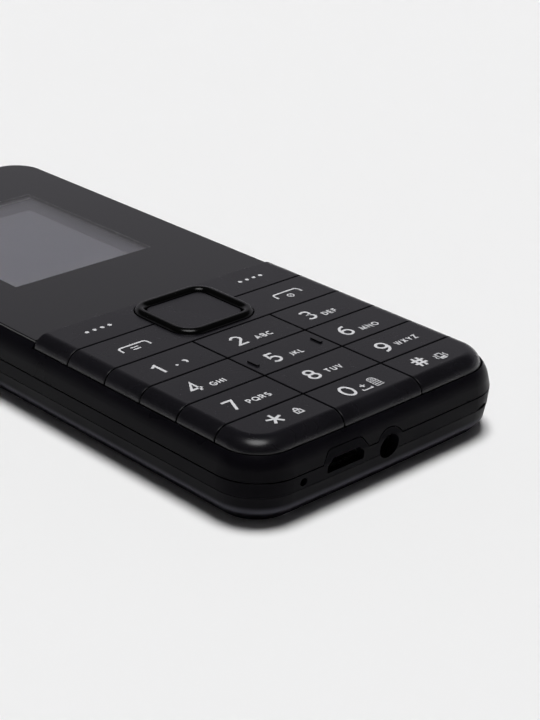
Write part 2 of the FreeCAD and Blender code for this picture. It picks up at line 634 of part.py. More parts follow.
def navigation_ring():
    """Glossy rounded-square bead round the centre key."""
    top = KEY_TOP_Z + RING_RISE
    ring = round_block(0, RING_Y, RING_W, RING_D, RING_CORNER_R, RING_BASE_Z, top)
    ring = ring.cut(round_block(0, RING_Y, RING_W - 2 * RING_BAND, RING_D - 2 * RING_BAND,
                                RING_INNER_R, 0, FAR))
    ring = ring.makeFillet(RING_BEAD_R, edges_at(ring, top))
    for x, y in ring_spots():
        ring = ring.fuse(stem(x, y, RING_STEM_R, RING_BASE_Z))
    for side in (-1, 1):
        y = RING_Y + side * (RING_D - RING_BAND) / 2
        ring = ring.fuse(block(0, y, RING_NUB_W, RING_NUB_D, ROCKER_Z + ROCKER_T + ROCK_CLEAR,
                               RING_BASE_Z + BITE))
    return ring


def navigation_rocker():
    """Thin plate under the ring: the ring tips left and right on it, and it tips up and down."""
    plate = round_block(0, RING_Y, RING_W - 2 * RING_GAP, RING_D - 2 * RING_GAP, RING_CORNER_R - RING_GAP,
                        ROCKER_Z, ROCKER_Z + ROCKER_T)
    for side in (-1, 1):
        x = side * (RING_W / 2 - RING_BAND)
        plate = plate.fuse(block(x, RING_Y, RING_NUB_D, ROCKER_NUB_D, MAT_TOP + ROCK_CLEAR, ROCKER_Z + BITE))
    plate = plate.cut(rod(STEM_HOLE_R, (0, RING_Y, 0), (0, RING_Y, FAR)))
    for x, y in ring_spots():
        plate = plate.cut(rod(RING_STEM_R + STEM_CLEAR, (x, y, 0), (x, y, FAR)))
    return plate


def ok_key():
    w = RING_W - 2 * RING_BAND - 2 * RING_GAP
    d = RING_D - 2 * RING_BAND - 2 * RING_GAP
    top = KEY_TOP_Z + OK_RISE
    key = round_block(0, RING_Y, w, d, RING_INNER_R - RING_GAP, RING_BASE_Z, top)
    key = key.makeFillet(OK_EDGE_R, edges_at(key, top))
    return key.fuse(stem(0, RING_Y, top=RING_BASE_Z))


# ---------------------------------------------------------------- under the keys
def key_spots():
    spots = [stem_spot(c, r) for r in range(4) for c in range(3)]
    spots += [(s * BAR_STEM_X, y) for s in (-1, 1) for y in (CALL_Y, SOFT_Y)]
    return spots + [(0, RING_Y)]


def keypad_mat():
    """Silicone sheet that seals the keypad, on feet where the key gaps cross."""
    mat = slab(HOUSING_WALL + PART_CLEAR, MAT_Z, MAT_TOP).common(before(COLLAR_Y - PART_CLEAR))
    for x in COLUMN_X[1:3]:
        for y in ROW_Y[1:]:
            mat = mat.fuse(rod(MAT_FOOT_R, (x, y, SHEET_TOP), (x, y, MAT_Z + BITE)))
    for x, y in key_spots():
        mat = mat.cut(rod(STEM_HOLE_R, (x, y, 0), (x, y, FAR)))
    for x, y in ring_spots():
        mat = mat.cut(rod(RING_STEM_R + STEM_CLEAR, (x, y, 0), (x, y, FAR)))
    return mat


def dome_sheet():
    """Clear film stuck to the board, with a raised snap dome under each key."""
    sheet = slab(BOARD_IN + SHEET_IN, BOARD_TOP, SHEET_TOP).common(before(KEYPAD_REAR))
    for x, y in SCREW_SPOTS:
        sheet = sheet.cut(rod(BOSS_R + PART_CLEAR, (x, y, 0), (x, y, FAR)))
        sheet = sheet.cut(block(x + math.copysign(BOSS_R, x), y, 3 * BOSS_R, BOSS_R + 2 * PART_CLEAR, 0, FAR))
    for x, y in key_spots():
        sheet = sheet.fuse(rod(DOME_R, (x, y, BOARD_TOP), (x, y, SHEET_TOP + DOME_H)))
    for x, y in ring_spots():
        sheet = sheet.fuse(rod(RING_DOME_R, (x, y, BOARD_TOP), (x, y, SHEET_TOP + DOME_H)))
    return sheet


def main_board():
    board = slab(BOARD_IN, BOARD_Z, BOARD_TOP)
    usb_w = USB_SHELL_W + 2 * PART_CLEAR
    board = board.cut(block(USB_X, FRONT_Y, usb_w, 2 * (INNER_END + USB_DEPTH + PART_CLEAR), 0, FAR))
    board = board.cut(block(JACK_X, JACK_Y, JACK_W + 2 * PART_CLEAR,
                            2 * (JACK_DEPTH + PART_CLEAR), 0, FAR))
    board = board.cut(block(SPEAKER_X, SPEAKER_Y, VENT_W, VENT_D, 0, FAR))
    for x, y in SCREW_SPOTS:
        board = board.cut(rod(SCREW_R + 2 * SCREW_CLEAR, (x, y, 0), (x, y, FAR)))
    return board


def housing_screws():
    screws = []
    for x, y in SCREW_SPOTS:
        head = rod(SCREW_HEAD_R, (x, y, SCREW_SEAT_Z - SCREW_HEAD_T), (x, y, SCREW_SEAT_Z))
        screws.append(head.fuse(rod(SCREW_R, (x, y, SCREW_SEAT_Z - BITE), (x, y, SCREW_TIP_Z))))
    return Part.makeCompound(screws)


# ---------------------------------------------------------------- display
def lcd_frame():
    """Backlight tray that holds the glass."""
    tray = block(0, LCD_Y, LCD_W, LCD_D, LCD_Z, LCD_Z + LCD_T)
    return tray.cut(block(0, LCD_Y, LCD_W - 2 * LCD_FRAME_WALL, LCD_D - 2 * LCD_FRAME_WALL,
                          LCD_Z + LCD_T - LCD_GLASS_T, FAR))


def lcd_panel():
    w = LCD_W - 2 * LCD_FRAME_WALL - 2 * LENS_CLEAR
    d = LCD_D - 2 * LCD_FRAME_WALL - 2 * LENS_CLEAR
    return block(0, LCD_Y, w, d, LCD_Z + LCD_T - LCD_GLASS_T, LCD_Z + LCD_T)


def lcd_flex():
    """Flat cable from the panel's lower edge down to the board."""
    y = LCD_Y - LCD_D / 2
    top = LCD_Z + LCD_T - FLEX_T
    x = FLEX_W / 2
    upright = box(-x, x, y - FLEX_GAP - FLEX_T, y - FLEX_GAP, BOARD_TOP, top)
    lap = box(-x, x, y - FLEX_GAP - FLEX_T, y, top - FLEX_T, top)
    lower = box(-x, x, y - FLEX_LAP, y - FLEX_GAP, BOARD_TOP, BOARD_TOP + FLEX_T)
    return upright.fuse(lower).fuse(lap)


# ---------------------------------------------------------------- sound
def earpiece():
    return round_block(0, EAR_Y, EARPIECE_CASE_W, EARPIECE_CASE_D, CASE_ROUND, BOARD_TOP, DECK_Z)


def loudspeaker():
    back = BOARD_Z - SPEAKER_T
    body = round_block(SPEAKER_X, SPEAKER_Y, SPEAKER_W, SPEAKER_D, SPEAKER_ROUND, back, BOARD_Z)
    rim = round_block(SPEAKER_X, SPEAKER_Y, SPEAKER_W, SPEAKER_D, SPEAKER_ROUND, BLOCK_Z, back)
    inside = round_block(SPEAKER_X, SPEAKER_Y, SPEAKER_W - 2 * SPEAKER_RIM, SPEAKER_D - 2 * SPEAKER_RIM,
                         SPEAKER_ROUND - SPEAKER_RIM / 2, 0, FAR)
    return body.fuse(rim.cut(inside))


def microphone():
    y = FRONT_Y + HOUSING_WALL + MIC_GAP + MIC_R
    return rod(MIC_R, (MIC_X, y, BOARD_Z - MIC_T), (MIC_X, y, BOARD_Z))


# ---------------------------------------------------------------- vibration motor
MOTOR_X = SPEAKER_X + SPEAKER_W / 2 + RIB_T + MOTOR_R + MOTOR_GAP
MOTOR_Y = SIM_Y + SIM_D / 2 + POCKET_MARGIN + RIB_T + WEIGHT_LENGTH + 2 * WEIGHT_GAP
MOTOR_Z = BOARD_Z - MOTOR_R


def vibration_motor():
    """Can with a bearing hole through it for its shaft."""
    case = rod(MOTOR_R, (MOTOR_X, MOTOR_Y, MOTOR_Z), (MOTOR_X, MOTOR_Y + MOTOR_LENGTH, MOTOR_Z))
    return case.cut(rod(SHAFT_R + SHAFT_CLEAR, (MOTOR_X, MOTOR_Y - OVER, MOTOR_Z),
                        (MOTOR_X, MOTOR_Y + MOTOR_LENGTH + OVER, MOTOR_Z)))


def vibration_weight():
    """Half-round weight on the motor's shaft."""
    y1 = MOTOR_Y - WEIGHT_GAP
    y0 = y1 - WEIGHT_LENGTH
    weight = rod(WEIGHT_R, (MOTOR_X, y0, MOTOR_Z), (MOTOR_X, y1, MOTOR_Z))
    weight = weight.cut(box(MOTOR_X - FAR, MOTOR_X + FAR, -FAR, FAR, MOTOR_Z + WEIGHT_TOP, FAR))
    end = MOTOR_Y + MOTOR_LENGTH - SHAFT_SHORT
    return weight.fuse(rod(SHAFT_R, (MOTOR_X, y0, MOTOR_Z), (MOTOR_X, end, MOTOR_Z)))


# ---------------------------------------------------------------- power and cards
def battery():
    return round_block(0, BATTERY_Y, BATTERY_W, BATTERY_D, BATTERY_ROUND, BLOCK_Z, BLOCK_Z + BATTERY_T)


def battery_contacts():
    """Three sprung fingers in a carrier, over the battery's end."""
    base = BLOCK_Z + BATTERY_T
    carrier = block(0, CONTACT_Y, CONTACT_W - 2 * CONTACT_CLEAR, CONTACT_D - 2 * CONTACT_CLEAR,
                    base + PART_CLEAR, BOARD_Z)
    for i in range(FINGERS):
        x = (i - (FINGERS - 1) / 2) * FINGER_PITCH
        carrier = carrier.fuse(block(x, CONTACT_Y, FINGER_W, FINGER_D, base, BOARD_Z - FINGER_TOP))
    return carrier


def card_tray(x, w, d, t):
    """Pressed metal card holder on the board's underside, open towards the battery."""
    tray = block(x, SIM_Y, w, d, BOARD_Z - t, BOARD_Z)
    inside = block(x, SIM_Y - 2 * TRAY_T, w - 4 * TRAY_T, d, BOARD_Z - t + TRAY_T, BOARD_Z - TRAY_T / 2)
    return tray.cut(inside)


SIM_X = (CARD_W + SIM_W) / 2 + TRAY_GAP


def sim_holders():
    return Part.makeCompound([card_tray(s * SIM_X, SIM_W, SIM_D, SIM_T) for s in (-1, 1)])


def card_holder():
    return card_tray(0, CARD_W, SIM_D, SIM_T)


# ---------------------------------------------------------------- ports
def usb_shell():
    """Folded metal shell of the data port, open at the mouth."""
    y1 = USB_SHELL_Y + USB_DEPTH
    low = USB_SHELL_H * USB_UPRIGHT

    def sleeve(t, y0, y_end):
        z0 = USB_SHELL_Z + t
        z1 = USB_SHELL_Z + USB_SHELL_H - t
        lower = block(USB_X, (y0 + y_end) / 2, USB_SHELL_W - 2 * t, y_end - y0, z0, USB_SHELL_Z + low)
        upper = trapezoid(USB_X, USB_SHELL_Z + low, z1, USB_SHELL_W - 2 * t,
                          USB_SHELL_W - USB_MOUTH_W + USB_MOUTH_TOP_W - t, y0, y_end)
        return lower.fuse(upper)

    inside = sleeve(USB_SHELL_T, USB_SHELL_Y - OVER, y1 - USB_BACK_T)
    wings = block(USB_X, y1 - USB_WING_AT, USB_WING_W, USB_WING_D, BOARD_Z - USB_WING_T, BOARD_Z)
    return sleeve(0, USB_SHELL_Y, y1).fuse(wings).cut(inside)


def usb_tongue():
    y0 = USB_SHELL_Y + TONGUE_IN
    y1 = USB_SHELL_Y + USB_DEPTH - USB_BACK_T
    top = USB_SHELL_Z + USB_SHELL_H - USB_SHELL_T - TONGUE_ROOM
    tongue = block(USB_X, (y0 + y1) / 2, TONGUE_W, y1 - y0, top - TONGUE_T, top)
    root = block(USB_X, y1 - TONGUE_ROOT_D / 2, TONGUE_ROOT_W, TONGUE_ROOT_D, USB_SHELL_Z + USB_SHELL_T, top)
    return tongue.fuse(root)


def audio_jack():
    """Socket body with its round bore facing out of the port end."""
    y0 = JACK_Y
    body = block(JACK_X, y0 + JACK_DEPTH / 2, JACK_W, JACK_DEPTH, JACK_Z - JACK_H / 2, JACK_Z + JACK_H / 2)
    bore = rod(JACK_BORE_R, (JACK_X, y0 - OVER, JACK_Z), (JACK_X, y0 + JACK_BORE_DEPTH, JACK_Z))
    wings = block(JACK_X, y0 + JACK_WING_AT, JACK_WING_W, JACK_WING_D, BOARD_Z - JACK_WING_T, BOARD_Z)
    return body.fuse(wings).cut(bore)


# ---------------------------------------------------------------- on the board's key side
def shield_cans():
    """Two pressed lids over the chips, under the display."""
    x = EARPIECE_CASE_W / 2 + CAN_GAP + CAN_W / 2
    y = LCD_Y + LCD_D / 2 + CAN_GAP + CAN_D / 2
    return Part.makeCompound([round_block(side * x, y, CAN_W, CAN_D, CAN_ROUND, BOARD_TOP, BOARD_TOP + CAN_H)
                              for side in (-1, 1)])


def antenna():
    """Thin folded plate along the earpiece end."""
    y1 = REAR_Y - BOARD_IN - ANTENNA_IN
    x = ANTENNA_W / 2
    flat = box(-x, x, y1 - ANTENNA_D, y1, BOARD_TOP, BOARD_TOP + ANTENNA_T)
    upright = box(-x, x, y1 - ANTENNA_T, y1, BOARD_TOP, BOARD_TOP + ANTENNA_H)
    return flat.fuse(upright)


# ---------------------------------------------------------------- write the pieces
save("battery_cover", battery_cover())
save("rear_housing", rear_housing())
save("front_housing", front_housing())
save("display_lens", display_lens())
for row_index, row_names in enumerate(KEY_NAMES):
    for column_index, key_name in enumerate(row_names):
        save(key_name, number_key(column_index, row_index))
save("call_end_key_bar", function_bar(ROW_Y[4], RING_Y, CALL_Y, (ROW_Y[4] + RING_Y - RING_D / 2) / 2))
save("soft_key_bar", function_bar(RING_Y, KEYPAD_REAR, SOFT_Y, (KEYPAD_REAR + RING_Y + RING_D / 2) / 2))
save("navigation_ring", navigation_ring())
save("navigation_rocker", navigation_rocker())
save("ok_key", ok_key())
save("keypad_mat", keypad_mat())
save("dome_sheet", dome_sheet())
save("main_board", main_board())
save("housing_screws", housing_screws())
save("lcd_frame", lcd_frame())
save("lcd_panel", lcd_panel())
save("lcd_flex", lcd_flex())
save("earpiece", earpiece())
save("loudspeaker", loudspeaker())
save("microphone", microphone())
save("vibration_motor", vibration_motor())
save("vibration_weight", vibration_weight())
save("battery", battery())
save("battery_contacts", battery_contacts())
save("sim_holders", sim_holders())
save("memory_card_holder", card_holder())
save("usb_shell", usb_shell())
save("usb_tongue", usb_tongue())
save("audio_jack", audio_jack())
save("shield_cans", shield_cans())
save("antenna", antenna())
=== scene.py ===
import math

import bmesh
import bpy
import numpy as np
from mathutils import Matrix, Vector


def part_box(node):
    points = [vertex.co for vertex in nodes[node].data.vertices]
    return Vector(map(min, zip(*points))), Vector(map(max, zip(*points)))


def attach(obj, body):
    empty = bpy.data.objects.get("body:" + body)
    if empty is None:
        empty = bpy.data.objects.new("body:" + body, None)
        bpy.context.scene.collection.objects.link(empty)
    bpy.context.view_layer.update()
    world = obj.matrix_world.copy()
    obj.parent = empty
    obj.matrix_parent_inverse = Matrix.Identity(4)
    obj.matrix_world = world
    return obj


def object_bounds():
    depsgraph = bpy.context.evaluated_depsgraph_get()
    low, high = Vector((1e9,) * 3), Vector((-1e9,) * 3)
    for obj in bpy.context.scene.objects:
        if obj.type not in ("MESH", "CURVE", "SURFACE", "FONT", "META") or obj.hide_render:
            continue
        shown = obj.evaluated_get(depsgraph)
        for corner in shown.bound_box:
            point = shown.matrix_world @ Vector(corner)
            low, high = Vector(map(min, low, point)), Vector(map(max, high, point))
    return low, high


# A bar-shaped keypad telephone in black plastic, lying on its back. Everything is in metres in the
# part's own frame: +X to the right of the keypad, +Y towards the earpiece end, +Z out of the keys.
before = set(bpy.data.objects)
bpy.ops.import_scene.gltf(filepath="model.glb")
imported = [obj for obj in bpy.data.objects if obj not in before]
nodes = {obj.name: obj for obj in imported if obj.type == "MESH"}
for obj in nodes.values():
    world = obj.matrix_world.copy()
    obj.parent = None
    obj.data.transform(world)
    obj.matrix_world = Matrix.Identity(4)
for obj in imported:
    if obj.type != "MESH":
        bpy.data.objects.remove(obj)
cad_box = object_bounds()
MM = 0.001

# ------------------------------------------------------------------ battery cover
# The dished back, injection moulded in black ABS with a fine spark-eroded texture. It snaps on from
# below, and its upright edge is the lowest band of the telephone's side.
SHELL_BLACK = "#0D0C10"
# Painted highlight along the crease: its grey, the crease height, and how far above and below the crease it
# fades out.
CREASE_HIGHLIGHT_GREY = "#46454C"
CREASE_Z = 2.05 * MM        # edge where the cover turns under
HIGHLIGHT_REACH = 1.0 * MM
PATCH_MM = 9                # size of the patches in which gloss and colour vary a little
TINT_LOW = 0.85             # darkest and palest patch, as a share of the colour
TINT_HIGH = 1.15
NOISE_LOW = 0.3             # nearly all of a noise texture's values lie between these two
NOISE_HIGH = 0.7


def linear(code):
    """sRGB hex colour to linear light: each channel c becomes ((c + 0.055) / 1.055) ** 2.4."""
    channels = [int(code[i:i + 2], 16) / 255 for i in (1, 3, 5)]
    return tuple(((c + 0.055) / 1.055) ** 2.4 if c > 0.04045 else c / 12.92 for c in channels) + (1.0,)


def add_node(tree, kind, inputs=None, **settings):
    """Add one shader node: settings are its properties, inputs are socket values or links."""
    made = tree.nodes.new(kind)
    for key, value in settings.items():
        setattr(made, key, value)
    for socket, value in (inputs or {}).items():
        if isinstance(value, bpy.types.NodeSocket):
            tree.links.new(value, made.inputs[socket])
        else:
            made.inputs[socket].default_value = value
    return made


def new_material(name):
    """An empty material: its tree, its Principled shader and Object coordinates in metres."""
    material = bpy.data.materials.new(name)
    material.use_nodes = True
    tree = material.node_tree
    tree.nodes.clear()
    shader = add_node(tree, "ShaderNodeBsdfPrincipled")
    add_node(tree, "ShaderNodeOutputMaterial", {"Surface": shader.outputs[0]})
    place = add_node(tree, "ShaderNodeTexCoord").outputs["Object"]
    return material, tree, shader, place


def moulded(name, colour, roughness, level, grain_mm, depth_mm, ior=1.5, spread=0.06):
    """Moulded plastic: one colour and a pitted skin, with pits about grain_mm apart and depth_mm
    deep. Gloss and colour vary a little in patches PATCH_MM across, the gloss by spread either way.
    level is how strongly it mirrors, where 0.5 is what its ior alone would give."""
    material, tree, shader, place = new_material(name)
    shader.inputs["IOR"].default_value = ior
    shader.inputs["Specular IOR Level"].default_value = level
    patches = add_node(tree, "ShaderNodeTexNoise", {
        "Vector": place, "Scale": 1 / (PATCH_MM * MM), "Detail": 3.0})
    gloss = add_node(tree, "ShaderNodeMapRange", {
        "Value": patches.outputs[0], "From Min": NOISE_LOW, "From Max": NOISE_HIGH,
        "To Min": roughness - spread, "To Max": roughness + spread})
    tint = add_node(tree, "ShaderNodeMapRange", {
        "Value": patches.outputs[0], "From Min": NOISE_LOW, "From Max": NOISE_HIGH,
        "To Min": TINT_LOW, "To Max": TINT_HIGH})
    shade = add_node(tree, "ShaderNodeVectorMath", {0: linear(colour)[:3], "Scale": tint.outputs[0]},
                     operation="SCALE")
    grain = add_node(tree, "ShaderNodeTexNoise", {
        "Vector": place, "Scale": 1 / (grain_mm * MM), "Detail": 2.0})
    bump = add_node(tree, "ShaderNodeBump", {"Height": grain.outputs[0], "Distance": depth_mm * MM,
                                             "Strength": 1.0})
    tree.links.new(shade.outputs[0], shader.inputs["Base Color"])
    tree.links.new(gloss.outputs[0], shader.inputs["Roughness"])
    tree.links.new(bump.outputs[0], shader.inputs["Normal"])
    return material


def finish(material, *names):
    """Give CAD nodes a material through their slots."""
    for name in names:
        for slot in nodes[name].material_slots:
            slot.material = material


def painted_crease_highlight(material):
    """Painted highlight: a paler grey painted into the colour along the crease, fading away over a set reach
    above and below it. It stands in for the light line that the real edge shows; it isn't known wear or a
    second material."""
    tree = material.node_tree
    shader = next(node for node in tree.nodes if node.type == "BSDF_PRINCIPLED")
    place = next(node for node in tree.nodes if node.type == "TEX_COORD").outputs["Object"]
    height = add_node(tree, "ShaderNodeSeparateXYZ", {"Vector": place}).outputs["Z"]
    above = add_node(tree, "ShaderNodeMath", {0: height, 1: CREASE_Z}, operation="SUBTRACT")
    away = add_node(tree, "ShaderNodeMath", {0: above.outputs[0]}, operation="ABSOLUTE")
    pale = add_node(tree, "ShaderNodeMapRange", {
        "Value": away.outputs[0], "From Max": HIGHLIGHT_REACH, "To Min": 1.0, "To Max": 0.0},
        interpolation_type="SMOOTHSTEP")
    plain = shader.inputs["Base Color"].links[0].from_socket
    colour = add_node(tree, "ShaderNodeMix", {0: pale.outputs[0], 6: plain, 7: linear(CREASE_HIGHLIGHT_GREY)},
                      data_type="RGBA")
    tree.links.new(colour.outputs[2], shader.inputs["Base Color"])


# ABS with a spark-eroded skin: dark, with a soft broad sheen and no mirror image.
textured_abs = moulded("spark-eroded ABS", SHELL_BLACK, 0.42, 0.05, 0.35, 0.003)
# Paint a highlight along the crease into the cover's colour.
painted_crease_highlight(textured_abs)
finish(textured_abs, "battery_cover")

# ------------------------------------------------------------------ rear housing
# The chassis behind the visible middle band, with the battery bay in its back. It is moulded in the
# same ABS as the cover, from a slightly smoother tool.
satin_abs = moulded("satin moulded ABS", SHELL_BLACK, 0.4, 0.03, 0.3, 0.002)
finish(satin_abs, "rear_housing")

# ------------------------------------------------------------------ battery and its contacts
# A lithium cell in a printed wrap, laid in the bay. Three gold-plated sprung fingers in a carrier
# stand over its end.
wrap = moulded("printed battery wrap", "#8F9396", 0.45, 0.5, 0.8, 0.004)
finish(wrap, "battery")

METAL_GRAIN_MM = 0.6        # grain of metal that isn't rolled
METAL_DEPTH_MM = 0.002      # depth of any metal's grain or lines
METAL_UNEVEN = 0.25         # share by which its roughness varies either way
DRAWN_OUT = (1.0, 0.05, 1.0)    # makes a grain twenty times as long along Y


def metal(name, colour, roughness, line_mm=None):
    """Bare or plated metal. Rolled metal has fine lines along Y, line_mm apart, which give it a
    streaky sheen, and other metal has an even fine grain."""
    material, tree, shader, place = new_material(name)
    shader.inputs["Metallic"].default_value = 1.0
    shader.inputs["Base Color"].default_value = linear(colour)
    stretch = DRAWN_OUT if line_mm else (1.0, 1.0, 1.0)
    drawn = add_node(tree, "ShaderNodeMapping", {"Vector": place, "Scale": stretch})
    noise = add_node(tree, "ShaderNodeTexNoise", {
        "Vector": drawn.outputs[0], "Detail": 3.0, "Scale": 1 / ((line_mm or METAL_GRAIN_MM) * MM)})
    rough = add_node(tree, "ShaderNodeMapRange", {
        "Value": noise.outputs[0], "From Min": NOISE_LOW, "From Max": NOISE_HIGH,
        "To Min": roughness * (1 - METAL_UNEVEN), "To Max": roughness * (1 + METAL_UNEVEN)})
    bump = add_node(tree, "ShaderNodeBump", {"Height": noise.outputs[0], "Distance": METAL_DEPTH_MM * MM})
    tree.links.new(rough.outputs[0], shader.inputs["Roughness"])
    tree.links.new(bump.outputs[0], shader.inputs["Normal"])
    return material


gold = metal("gold-plated bronze", "#D9B26A", 0.25)
finish(gold, "battery_contacts", "antenna")     # the antenna plate is plated alike

# ------------------------------------------------------------------ board and what it carries
# Glass-epoxy board with a green solder mask. Pressed steel card holders, shield lids and the data
# port's shell are soldered to it, and the sound parts and the motor stand round it.
MASK_GREEN = "#0F4A2A"
TRACK_CELL_MM = 4           # the tracks' pattern is drawn in units of this size
TRACK_PITCH = 0.18          # rows 0.7 mm apart
TRACK_RUN = 0.7             # cross tracks 2.8 mm apart
TRACK_W = 0.04
TRACK_RISE_MM = 0.02


def solder_mask():
    """Green lacquer over copper tracks: a brick pattern whose joints are the tracks, which show as
    paler raised lines about 0.7 mm apart, coarser than real ones so that they show."""
    material, tree, shader, place = new_material("solder mask over copper")
    shader.inputs["Roughness"].default_value = 0.3
    tracks = add_node(tree, "ShaderNodeTexBrick", {
        "Vector": place, "Color1": linear(MASK_GREEN), "Color2": linear("#0D4226"),
        "Mortar": linear("#1D6B3F"), "Scale": 1 / (TRACK_CELL_MM * MM), "Mortar Size": TRACK_W,
        "Brick Width": TRACK_RUN, "Row Height": TRACK_PITCH})
    tree.links.new(tracks.outputs["Color"], shader.inputs["Base Color"])
    bump = add_node(tree, "ShaderNodeBump", {"Height": tracks.outputs["Fac"], "Distance": TRACK_RISE_MM * MM})
    tree.links.new(bump.outputs[0], shader.inputs["Normal"])
    return material


finish(solder_mask(), "main_board")
rolled_steel = metal("rolled stainless steel", "#B4B4B2", 0.3, 0.25)
finish(rolled_steel, "sim_holders", "memory_card_holder", "shield_cans", "usb_shell", "microphone",
       "vibration_motor")
finish(metal("zinc-plated steel", "#A9ABAD", 0.28), "housing_screws")
finish(metal("sintered tungsten", "#77736E", 0.5), "vibration_weight")
black_nylon = moulded("glass-filled nylon", "#101010", 0.4, 0.3, 0.3, 0.004)
finish(black_nylon, "usb_tongue", "audio_jack", "loudspeaker", "earpiece")

# ------------------------------------------------------------------ display
# A 1.77 inch panel in a white backlight tray, joined to the board by an orange flat cable. The dead
# screen is grey under its polariser, and a darker border shows along its right and far sides. On the
# other two sides the grey runs to the edge of the glass.
ACTIVE_X = (-20.0 * MM, 11.2 * MM)
ACTIVE_Y = (0.0, 39.1 * MM)
ACTIVE_SOFT = 0.05 * MM
ACTIVE_GREY = "#636368"
BORDER_GREY = "#424246"
finish(moulded("white polycarbonate", "#D8D8D4", 0.4, 0.5, 0.4, 0.002), "lcd_frame")
finish(moulded("polyimide film", "#A4622A", 0.3, 0.5, 0.4, 0.002), "lcd_flex")


def inside_box(tree, place, x0, x1, y0, y1, soft):
    """1 inside a rectangle in plan and 0 outside. On each axis the distance from the middle is held
    against half the side, fading over soft to either side of the edge, and the two are multiplied."""
    axes = add_node(tree, "ShaderNodeSeparateXYZ", {"Vector": place})
    product = None
    for axis, low, high in ((0, x0, x1), (1, y0, y1)):
        off = add_node(tree, "ShaderNodeMath", {0: axes.outputs[axis], 1: (low + high) / 2},
                       operation="SUBTRACT")
        size = add_node(tree, "ShaderNodeMath", {0: off.outputs[0]}, operation="ABSOLUTE")
        half = (high - low) / 2
        edge = add_node(tree, "ShaderNodeMapRange", {"Value": size.outputs[0], "From Min": half - soft,
                                                     "From Max": half + soft, "To Min": 1.0, "To Max": 0.0})
        if product is None:
            product = edge.outputs[0]
        else:
            product = add_node(tree, "ShaderNodeMath", {0: product, 1: edge.outputs[0]},
                               operation="MULTIPLY").outputs[0]
    return product


def polariser():
    """Display glass: a satin grey polariser film over the pixels, and a darker border."""
    material, tree, shader, place = new_material("display polariser")
    shader.inputs["Roughness"].default_value = 0.25
    shader.inputs["Specular IOR Level"].default_value = 0.3
    active = inside_box(tree, place, *ACTIVE_X, *ACTIVE_Y, ACTIVE_SOFT)
    colour = add_node(tree, "ShaderNodeMix", {0: active, 6: linear(BORDER_GREY), 7: linear(ACTIVE_GREY)},
                      data_type="RGBA")
    tree.links.new(colour.outputs[2], shader.inputs["Base Color"])
    return material


finish(polariser(), "lcd_panel")

# ------------------------------------------------------------------ dome sheet, mat and rocker
# Polyester film with stainless snap domes, a silicone sheet over it, and the plate that the
# navigation ring tips on.
finish(moulded("polyester film", "#C9CBC6", 0.25, 0.5, 0.5, 0.001), "dome_sheet")
finish(moulded("silicone rubber", "#3A3A3C", 0.6, 0.4, 0.2, 0.005, ior=1.41), "keypad_mat")
finish(moulded("acetal", "#1A1A1B", 0.4, 0.4, 0.3, 0.002), "navigation_rocker")

# ------------------------------------------------------------------ front housing
# The upper shell round keys and lens, screwed to the rear housing. It is black ABS from a polished
# tool, so it is the glossier half.
polished_abs = moulded("polished moulded ABS", SHELL_BLACK, 0.3, 0.07, 0.5, 0.0015, spread=0.04)
finish(polished_abs, "front_housing")

# ------------------------------------------------------------------ lens
# A flat acrylic plate, laid on the upper shell's deck. It is printed black on its underside except
# for a clear window over the display, and its polished face gives a fairly sharp mirror image.
BACK_PRINT = "#0C0C0E"
CLEAR_TINT = "#F4F4F6"
PRINT_SOFT = 0.03 * MM
WINDOW_X = 14.45 * MM
WINDOW_Y = (8.4 * MM, 43.7 * MM)


def printed_acrylic():
    """Clear inside the window, and black ink seen through the plate elsewhere."""
    material, tree, shader, place = new_material("back-printed acrylic")
    shader.inputs["Roughness"].default_value = 0.05
    shader.inputs["IOR"].default_value = 1.49
    shader.inputs["Specular IOR Level"].default_value = 0.45
    clear = inside_box(tree, place, -WINDOW_X, WINDOW_X, *WINDOW_Y, PRINT_SOFT)
    colour = add_node(tree, "ShaderNodeMix", {0: clear, 6: linear(BACK_PRINT), 7: linear(CLEAR_TINT)},
                      data_type="RGBA")
    tree.links.new(colour.outputs[2], shader.inputs["Base Color"])
    tree.links.new(clear, shader.inputs["Transmission Weight"])
    return material


finish(printed_acrylic(), "display_lens")

# ------------------------------------------------------------------ keys
# Twelve number keys, two function bars and the OK key, moulded in polycarbonate and sprayed with a
# fine matt lacquer, so their tops are an even dark grey with a soft sheen.
KEY_ROWS = [["star", "0", "hash"], ["7", "8", "9"], ["4", "5", "6"], ["1", "2", "3"]]
key_nodes = ["key_" + mark for row in KEY_ROWS for mark in row]
matt_lacquer = moulded("matt lacquered polycarbonate", "#131216", 0.27, 0.44, 0.16, 0.001, spread=0.03)
finish(matt_lacquer, "soft_key_bar", "call_end_key_bar", "ok_key", *key_nodes)

# ------------------------------------------------------------------ navigation ring
# A rounded-square bead of black ABS from a polished tool, the glossiest piece among the keys. It
# tips left and right on the rocker plate under it, and the plate tips up and down.
piano_black = moulded("piano black ABS", "#050505", 0.2, 0.26, 0.8, 0.0008, spread=0.03)
finish(piano_black, "navigation_ring")

# ------------------------------------------------------------------ printed marks on the keys
# Pad-printed pale grey ink, a film on the key tops. Every stroke is a pen of one width carried along
# straight runs and arcs.
KEY_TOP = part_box("key_8")[1].z
INK_RISE = 0.02             # ink above the key, millimetres
INK_SINK = 0.02             # how far the ink's underside lies in the key
INK_STEP = 0.002            # each stroke lies this much above the last, so that none share a face
DIGIT_H = 3.28
DIGIT_PEN = 0.45
LETTER_H = 1.3
LETTER_PEN = 0.25
LETTER_GAP = 0.24
DOT_PINHOLE = 0.002         # left open in a dot's middle, so that its inner edge isn't one point
ARC_STEP = 12               # an arc has a point about each so many degrees, and never fewer than six
ARC_LEAST = 6
SAME_POINT = 1e-6           # points of a glyph closer than this are one point
MITRE_LIMIT = 0.45          # least cosine of half a bend that is used, so a sharp mitre stays short
WELD = 1e-7                 # corners closer than this, in metres, are joined
